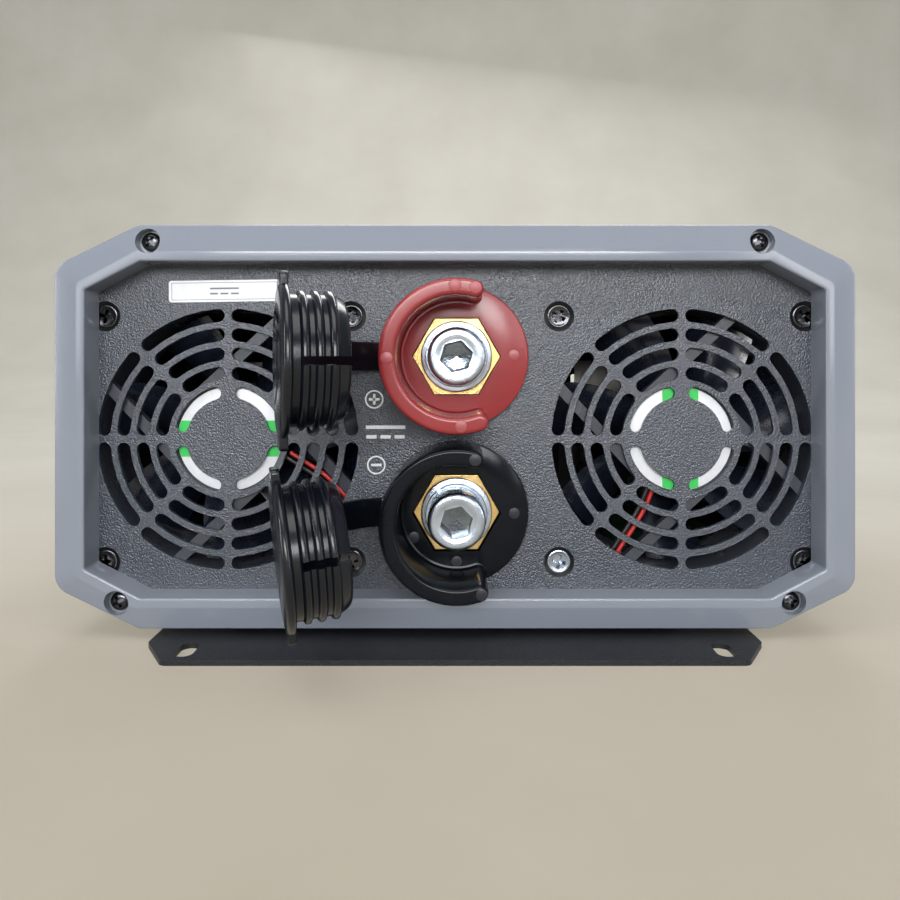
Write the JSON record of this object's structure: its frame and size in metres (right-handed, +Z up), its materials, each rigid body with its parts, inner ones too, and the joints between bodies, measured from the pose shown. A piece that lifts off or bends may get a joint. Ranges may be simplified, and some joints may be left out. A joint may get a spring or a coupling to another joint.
{
  "type": "power inverter",
  "caption": "DC-to-AC power inverter in a ribbed metal case with end bezels, cooling fans behind grilles, capped screw terminals, AC outlets and slotted mounting brackets.",
  "frame": {"origin": "midway across the underside of the front mounting bracket, below the face of the DC-end bezel", "axes": "+X right seen from the DC end, +Y from the DC end to the AC end, +Z up"},
  "size_m": [0.225, 0.441, 0.1166],
  "materials": {
    "bezel": "satin",
    "panel": "powder coat",
    "housing": "black anodised",
    "bracket": "powder coat",
    "black_screws": "black oxide",
    "fan_plastic": "matte",
    "rotor_plastic": "matte",
    "sticker": "matte",
    "wire": "satin",
    "red_nylon": "gloss",
    "black_nylon": "gloss",
    "dark_nut": "matte",
    "brass": "machined",
    "steel": "zinc plated",
    "cap_rubber": "matte",
    "copper": "tinned copper",
    "circuit_board": "solder mask",
    "standoff": "machined",
    "sleeve": "gloss",
    "dark_sleeve": "gloss",
    "ferrite": "matte",
    "heat_sink": "mill",
    "epoxy": "matte",
    "winding": "enamelled",
    "outlet": "satin",
    "switch": "gloss",
    "red_button": "gloss",
    "lamp": "gloss"
  },
  "bodies": {
    "case": {"front_bezel": "bezel", "rear_bezel": "bezel", "dc_panel": "panel", "ac_panel": "panel", "upper_housing": "housing", "lower_housing": "housing", "front_bracket": "bracket", "rear_bracket": "bracket", "front_bezel_screws": "black_screws", "rear_bezel_screws": "black_screws", "bracket_screws": "black_screws", "fan_screws": "black_screws", "left_fan_frame": "fan_plastic", "right_fan_frame": "fan_plastic", "left_fan_label": "sticker", "right_fan_label": "sticker", "left_fan_leads": "wire", "right_fan_leads": "wire", "positive_base": "red_nylon", "negative_base": "black_nylon", "terminal_nuts": "dark_nut", "positive_post": "brass", "negative_post": "brass", "positive_strap": "cap_rubber", "negative_strap": "cap_rubber", "voltage_label": "sticker", "positive_busbar": "copper", "negative_busbar": "copper", "main_board": "circuit_board", "control_board": "circuit_board", "board_mounts": "standoff", "input_capacitors": "sleeve", "high_voltage_capacitors": "dark_sleeve", "left_transformer": "ferrite", "right_transformer": "ferrite", "left_heat_sink": "heat_sink", "right_heat_sink": "heat_sink", "transistors": "epoxy", "output_choke": "winding", "left_outlet": "outlet", "right_outlet": "outlet", "outlet_screws": "steel", "switch_housing": "switch", "breaker_body": "switch", "indicator_lights": "lamp", "remote_jack": "switch", "ground_stud": "brass"},
    "left_rotor": {"left_impeller": "rotor_plastic"},
    "right_rotor": {"right_impeller": "rotor_plastic"},
    "positive_cap": {"positive_cap": "cap_rubber"},
    "negative_cap": {"negative_cap": "cap_rubber"},
    "positive_washers": {"positive_flat_washer": "steel", "positive_spring_washer": "steel"},
    "positive_bolt": {"positive_bolt": "steel"},
    "negative_washers": {"negative_flat_washer": "steel", "negative_spring_washer": "steel"},
    "negative_bolt": {"negative_bolt": "steel"},
    "rocker": {"switch_rocker": "switch"},
    "breaker_button": {"breaker_button": "red_button"},
    "ground_washer": {"ground_washer": "steel"},
    "ground_nut": {"ground_nut": "brass"}
  },
  "joints": [
    {"name": "left_fan_spin", "type": "hinge", "parent": "case", "child": "left_rotor", "pos_m": [-0.066, 0.025, 0.0556], "axis": [0, -1, 0], "continuous": true},
    {"name": "right_fan_spin", "type": "hinge", "parent": "case", "child": "right_rotor", "pos_m": [0.066, 0.025, 0.0556], "axis": [0, -1, 0], "continuous": true},
    {"name": "positive_cap_swing", "type": "hinge", "parent": "case", "child": "positive_cap", "pos_m": [-0.02685, -0.0041, 0.0797], "axis": [0, 0, 1], "range_deg": [-20, 72], "stiffness_Nm_per_rad": 0.02, "deforming": ["positive_strap"]},
    {"name": "positive_bolt_travel", "type": "slide", "parent": "case", "child": "positive_washers", "axis": [0, -1, 0], "range_m": [0, 0.009]},
    {"name": "positive_bolt_turn", "type": "hinge", "parent": "positive_washers", "child": "positive_bolt", "pos_m": [0.0004, 0, 0.0797], "axis": [0, -1, 0], "range_deg": [0, 2160]},
    {"name": "negative_cap_swing", "type": "hinge", "parent": "case", "child": "negative_cap", "pos_m": [-0.02685, -0.0041, 0.0347], "axis": [0, 0, 1], "range_deg": [-20, 72], "stiffness_Nm_per_rad": 0.02, "deforming": ["negative_strap"]},
    {"name": "negative_bolt_travel", "type": "slide", "parent": "case", "child": "negative_washers", "axis": [0, -1, 0], "range_m": [0, 0.009]},
    {"name": "negative_bolt_turn", "type": "hinge", "parent": "negative_washers", "child": "negative_bolt", "pos_m": [0.0004, 0, 0.0347], "axis": [0, -1, 0], "range_deg": [0, 2160]},
    {"name": "ground_nut_travel", "type": "slide", "parent": "case", "child": "ground_washer", "axis": [0, 1, 0], "range_m": [0, 0.006]},
    {"name": "ground_nut_turn", "type": "hinge", "parent": "ground_washer", "child": "ground_nut", "pos_m": [0.088, 0.362, 0.027], "axis": [0, 1, 0], "range_deg": [0, 2160]},
    {"name": "rocker_tilt", "type": "hinge", "parent": "case", "child": "rocker", "pos_m": [0.004, 0.3585, 0.08], "axis": [-1, 0, 0], "range_deg": [0, 24]},
    {"name": "breaker_press", "type": "slide", "parent": "case", "child": "breaker_button", "axis": [0, -1, 0], "range_m": [0, 0.0024], "stiffness_N_per_m": 200, "springref_m": -0.001}
  ],
  "couplings": [
    {"joint": "positive_bolt_turn", "follows": "positive_bolt_travel", "rad_per_m": 4188.8},
    {"joint": "negative_bolt_turn", "follows": "negative_bolt_travel", "rad_per_m": 4188.8},
    {"joint": "ground_nut_turn", "follows": "ground_nut_travel", "rad_per_m": 6283.2}
  ]
}
